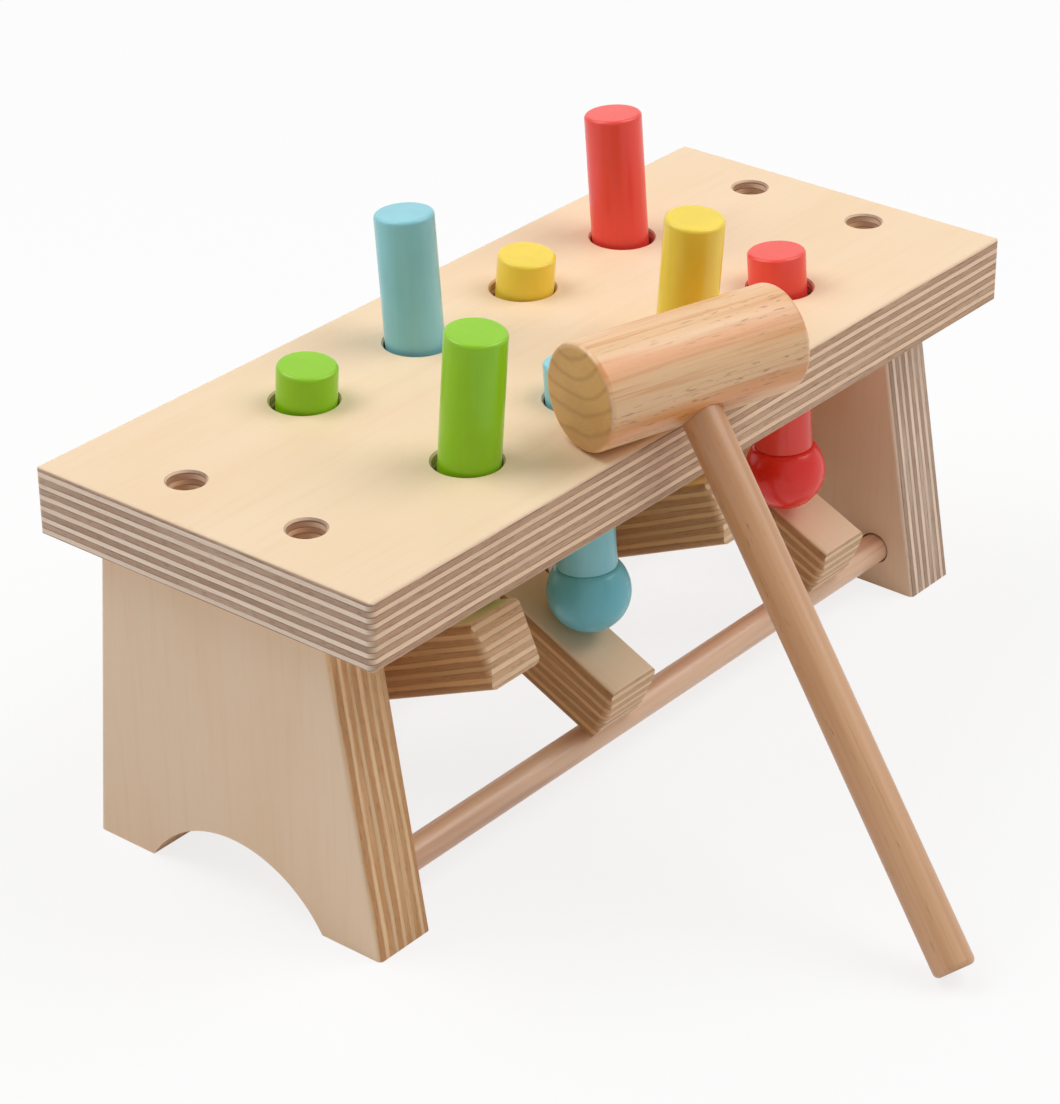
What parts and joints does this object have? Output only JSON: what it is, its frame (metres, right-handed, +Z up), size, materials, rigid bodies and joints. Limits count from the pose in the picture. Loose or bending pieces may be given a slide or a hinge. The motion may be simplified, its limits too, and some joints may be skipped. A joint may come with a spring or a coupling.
{
  "type": "peg pounding bench",
  "caption": "Wooden pounding bench toy: painted pegs stand in pairs on rocking plywood levers, so that knocking one down with the mallet lifts its partner.",
  "frame": {"origin": "on the floor, under the middle of the bench", "axes": "+X along the bench from the green pegs to the red ones, +Y from the front, where the mallet leans, to the back, +Z up"},
  "size_m": [0.254, 0.2122, 0.1372],
  "materials": {
    "birch_plywood": "clear matt lacquer over birch plywood",
    "beech": "bare sanded beech",
    "pale_hardwood": "bare sanded pale hardwood",
    "green_paint": "lime green satin paint on wood",
    "blue_paint": "light teal blue satin paint on wood",
    "yellow_paint": "warm yellow satin paint on wood",
    "red_paint": "coral red satin paint on wood",
    "screw_steel": "dull zinc-plated steel"
  },
  "bodies": {
    "bench": {"bench_top": "birch_plywood", "left_leg": "birch_plywood", "right_leg": "birch_plywood", "leg_screws": "screw_steel", "front_rail": "beech", "back_rail": "beech", "lever_axle": "beech", "left_end_spacer": "beech", "green_blue_spacer": "beech", "blue_yellow_spacer": "beech", "yellow_red_spacer": "beech", "right_end_spacer": "beech"},
    "green_lever": {"green_lever": "birch_plywood"},
    "green_front_peg": {"green_front_peg": "green_paint", "green_front_ball": "green_paint"},
    "green_back_peg": {"green_back_peg": "green_paint", "green_back_ball": "green_paint"},
    "blue_lever": {"blue_lever": "birch_plywood"},
    "blue_front_peg": {"blue_front_peg": "blue_paint", "blue_front_ball": "blue_paint"},
    "blue_back_peg": {"blue_back_peg": "blue_paint", "blue_back_ball": "blue_paint"},
    "yellow_lever": {"yellow_lever": "birch_plywood"},
    "yellow_front_peg": {"yellow_front_peg": "yellow_paint", "yellow_front_ball": "yellow_paint"},
    "yellow_back_peg": {"yellow_back_peg": "yellow_paint", "yellow_back_ball": "yellow_paint"},
    "red_lever": {"red_lever": "birch_plywood"},
    "red_front_peg": {"red_front_peg": "red_paint", "red_front_ball": "red_paint"},
    "red_back_peg": {"red_back_peg": "red_paint", "red_back_ball": "red_paint"},
    "mallet": {"mallet_head": "pale_hardwood", "mallet_handle": "beech"}
  },
  "joints": [
    {"name": "green_rock", "type": "hinge", "parent": "bench", "child": "green_lever", "pos_m": [-0.067, 0.001, 0.04144], "axis": [1, 0, 0], "range_deg": [0, 49.2]},
    {"name": "green_front_slide", "type": "slide", "parent": "bench", "child": "green_front_peg", "axis": [0, -0.0775, 0.997], "range_m": [-0.02178, 0]},
    {"name": "green_back_slide", "type": "slide", "parent": "bench", "child": "green_back_peg", "axis": [0, -0.0775, 0.997], "range_m": [0, 0.02605]},
    {"name": "blue_rock", "type": "hinge", "parent": "bench", "child": "blue_lever", "pos_m": [-0.021, 0.001, 0.04144], "axis": [1, 0, 0], "range_deg": [-49.2, 0]},
    {"name": "blue_front_slide", "type": "slide", "parent": "bench", "child": "blue_front_peg", "axis": [0, 0.0775, 0.997], "range_m": [0, 0.02605]},
    {"name": "blue_back_slide", "type": "slide", "parent": "bench", "child": "blue_back_peg", "axis": [0, 0.0775, 0.997], "range_m": [-0.02178, 0]},
    {"name": "yellow_rock", "type": "hinge", "parent": "bench", "child": "yellow_lever", "pos_m": [0.025, 0.001, 0.04144], "axis": [1, 0, 0], "range_deg": [0, 49.2]},
    {"name": "yellow_front_slide", "type": "slide", "parent": "bench", "child": "yellow_front_peg", "axis": [0, -0.0775, 0.997], "range_m": [-0.02178, 0]},
    {"name": "yellow_back_slide", "type": "slide", "parent": "bench", "child": "yellow_back_peg", "axis": [0, -0.0775, 0.997], "range_m": [0, 0.02605]},
    {"name": "red_rock", "type": "hinge", "parent": "bench", "child": "red_lever", "pos_m": [0.071, 0.001, 0.04144], "axis": [1, 0, 0], "range_deg": [-49.2, 0]},
    {"name": "red_front_slide", "type": "slide", "parent": "bench", "child": "red_front_peg", "axis": [0, 0.0775, 0.997], "range_m": [0, 0.02605]},
    {"name": "red_back_slide", "type": "slide", "parent": "bench", "child": "red_back_peg", "axis": [0, 0.0775, 0.997], "range_m": [-0.02178, 0]},
    {"name": "mallet_lift", "type": "slide", "parent": "bench", "child": "mallet", "axis": [0, 0, 1], "range_m": [0, 0.05]}
  ],
  "couplings": [
    {"joint": "green_front_slide", "follows": "green_rock", "m_per_rad": -0.025353},
    {"joint": "green_back_slide", "follows": "green_rock", "m_per_rad": 0.030335},
    {"joint": "blue_front_slide", "follows": "blue_rock", "m_per_rad": -0.030335},
    {"joint": "blue_back_slide", "follows": "blue_rock", "m_per_rad": 0.025353},
    {"joint": "yellow_front_slide", "follows": "yellow_rock", "m_per_rad": -0.025353},
    {"joint": "yellow_back_slide", "follows": "yellow_rock", "m_per_rad": 0.030335},
    {"joint": "red_front_slide", "follows": "red_rock", "m_per_rad": -0.030335},
    {"joint": "red_back_slide", "follows": "red_rock", "m_per_rad": 0.025353}
  ]
}
